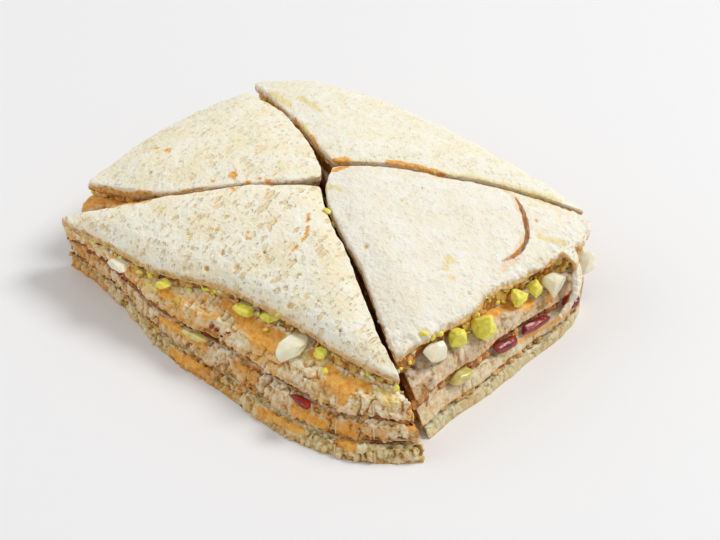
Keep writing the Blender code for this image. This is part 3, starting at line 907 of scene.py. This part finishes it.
def strew(bm, names, count, lengths, widths, tilt, seed, rounds=2):
    """Lays bits along the open sides of some pieces."""
    rng = random.Random(seed)
    for name in names:
        mesh = finished[name]
        places = places_of(mesh) * MM
        normals = normals_of(mesh)
        view = column(mesh, "open")
        able = np.nonzero((view > BIT_OPEN) & (np.abs(normals[:, 2]) < BIT_LEVEL))[0]
        for _ in range(min(count, len(able))):
            pick = int(able[rng.randrange(len(able))])
            normal = Vector(normals[pick])
            level = normal.cross(Vector((0, 0, 1))).normalized()
            along = level + Vector([rng.uniform(-tilt, tilt) for _ in range(3)])
            width = rng.uniform(*widths)
            size = (rng.uniform(*lengths), width, width * rng.uniform(0.6, 1.0))
            add_chip(bm, Vector(places[pick]) + normal * 0.1 * MM, along, normal, size, rng.random(), rounds)


# Bits that the photograph shows: a pixel, the length, the width, and the turn in the picture.
YOLK_BITS = (
    (266, 330, 2.2, 1.6, 0), (325, 372, 3.6, 3.0, 30), (318, 359, 1.6, 1.2, 0), (140, 272, 3.6, 2.2, 20),
    (151, 275, 3.0, 2.0, 0), (190, 291, 2.4, 1.8, 40), (207, 289, 3.0, 1.8, 0), (213, 293, 2.4, 1.6, 20),
    (324, 200, 7.5, 2.6, 75), (327, 212, 4.0, 2.2, 60), (334, 225, 3.4, 2.2, 55), (424, 334, 4.0, 2.4, 20),
    (432, 337, 3.0, 2.2, 60), (440, 333, 3.4, 2.2, 10), (500, 330, 1.6, 1.2, 0), (279, 314, 4.2, 1.8, -30),
)
PEPPER_BITS = (
    (212, 326, 3.0, 1.8, -20), (217, 330, 2.4, 1.6, 30), (229, 332, 2.2, 1.6, 0), (205, 333, 1.6, 1.2, 0),
    (541, 318, 2.0, 1.4, 0), (222, 336, 1.6, 1.2, 0),
)
WHISKERS = (
    (594, 289, 5.0, 0.8, -55), (599, 295, 4.6, 0.6, -50), (588, 282, 4.6, 1.0, -40), (586, 292, 4.0, 0.7, 60),
)


def add_seen_bits(bm, bits, lift, seed):
    """Lays a bit at each listed pixel, raised by a share of its width."""
    for number, (across, down, length, width, turn) in enumerate(bits):
        place, normal = seen_on(everything, across, down)
        angle = math.radians(turn)
        along = CAMERA_RIGHT * math.cos(angle) - CAMERA_UP * math.sin(angle)
        size = (length, width, width * 0.85)
        add_chip(bm, place + normal * lift * width * MM, along, normal, size, seed + number)


def show_bits(bm, name, kind):
    """Makes one piece of the scene from all the bits of a kind."""
    mesh = bpy.data.meshes.new(name)
    bmesh.ops.recalc_face_normals(bm, faces=bm.faces)
    bm.to_mesh(mesh)
    bm.free()
    show(mesh, name, finishes[kind], SLOTS[kind])


bm = bmesh.new()
add_seen_bits(bm, YOLK_BITS, 0.25, 10)
strew(bm, [f"{wedge}_egg" for wedge in WEDGES], 16, (1.6, 3.6), (1.2, 2.4), 1.0, 20)
show_bits(bm, "yolk_crumbs", "yolk")
bm = bmesh.new()
strew(bm, [f"{wedge}_egg" for wedge in WEDGES], 8, (1.6, 4.0), (1.4, 2.4), 1.0, 30)
show_bits(bm, "egg_white_crumbs", "egg_white")
bm = bmesh.new()
add_seen_bits(bm, PEPPER_BITS, 0.2, 40)
strew(bm, [f"{wedge}_pepper" for wedge in WEDGES], 7, (1.6, 4.0), (1.0, 1.8), 0.5, 50)
show_bits(bm, "red_pepper_bits", "red_pepper")
bm = bmesh.new()
strew(bm, [f"{wedge}_tuna" for wedge in WEDGES], 60, (2.4, 6.5), (0.7, 1.3), 0.5, 60, 1)
show_bits(bm, "tuna_shreds", "tuna_shreds")
bm = bmesh.new()
add_seen_bits(bm, WHISKERS, 0.3, 70)
show_bits(bm, "torn_strands", "strands")


# Floor, light and camera

FLOOR_REACH = 3.0
floor = Finish("pale floor")
floor_tone = floor.blend(floor.noise(400.0), colour(244, 244, 245), colour(242, 242, 244))
floor_finish = floor.finish(floor_tone, 0.7)
bm = bmesh.new()
bmesh.ops.create_grid(bm, x_segments=1, y_segments=1, size=FLOOR_REACH)
floor_mesh = bpy.data.meshes.new("floor")
bm.to_mesh(floor_mesh)
bm.free()
floor_mesh.materials.append(floor_finish)
floor_object = bpy.data.objects.new("floor", floor_mesh)
bpy.context.scene.collection.objects.link(floor_object)


def soft_light(name, place, size, power, tint):
    """A round lamp that faces the sandwich."""
    light = bpy.data.lights.new(name, "AREA")
    light.shape = "DISK"
    light.size = size
    light.energy = power
    light.color = tint
    thing = bpy.data.objects.new(name, light)
    thing.location = place
    thing.rotation_euler = (Vector(place)).to_track_quat("Z", "Y").to_euler()
    bpy.context.scene.collection.objects.link(thing)


soft_light("key light", (0.9, 1.2, 1.9), 1.0, 33.0, (1.0, 0.985, 0.96))
soft_light("fill light", (-0.9, -0.6, 0.9), 1.2, 3.0, (0.96, 0.98, 1.0))

world = bpy.data.worlds.new("pale room")
bpy.context.scene.world = world
world.use_nodes = True
world.node_tree.nodes["Background"].inputs["Color"].default_value = (1.0, 1.0, 1.0, 1.0)
world.node_tree.nodes["Background"].inputs["Strength"].default_value = 0.48

lens = bpy.data.cameras.new("camera")
lens.lens = LENS
lens.sensor_width = SENSOR
lens.clip_start = 0.01
lens.clip_end = 20
camera = bpy.data.objects.new("camera", lens)
turn = Matrix((CAMERA_RIGHT, CAMERA_UP, CAMERA_BACK)).transposed()
camera.matrix_world = Matrix.Translation(CAMERA_PLACE) @ turn.to_4x4()
bpy.context.scene.collection.objects.link(camera)
bpy.context.scene.camera = camera
bpy.context.scene.view_settings.view_transform = "Standard"
